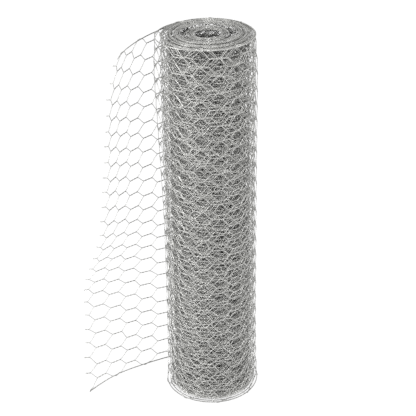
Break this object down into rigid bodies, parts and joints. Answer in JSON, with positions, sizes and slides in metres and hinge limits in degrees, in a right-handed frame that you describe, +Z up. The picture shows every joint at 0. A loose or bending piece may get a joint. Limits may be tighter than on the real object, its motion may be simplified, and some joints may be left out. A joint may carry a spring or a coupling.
{
  "type": "roll of chicken wire",
  "caption": "Standing roll of galvanised hexagonal wire netting with an open bore, its turns showing on the ends and its loose end swung out to one side.",
  "frame": {"origin": "on the axis of the bore, where the standing roll meets the floor", "axes": "+Z up along the bore axis; the loose end reaches towards -X and -Y"},
  "size_m": [0.2798, 0.1521, 0.6],
  "materials": {
    "galvanised_wire": "dull zinc coating over drawn steel wire"
  },
  "bodies": {
    "root": {"netting_roll": "galvanised_wire"}
  },
  "joints": []
}
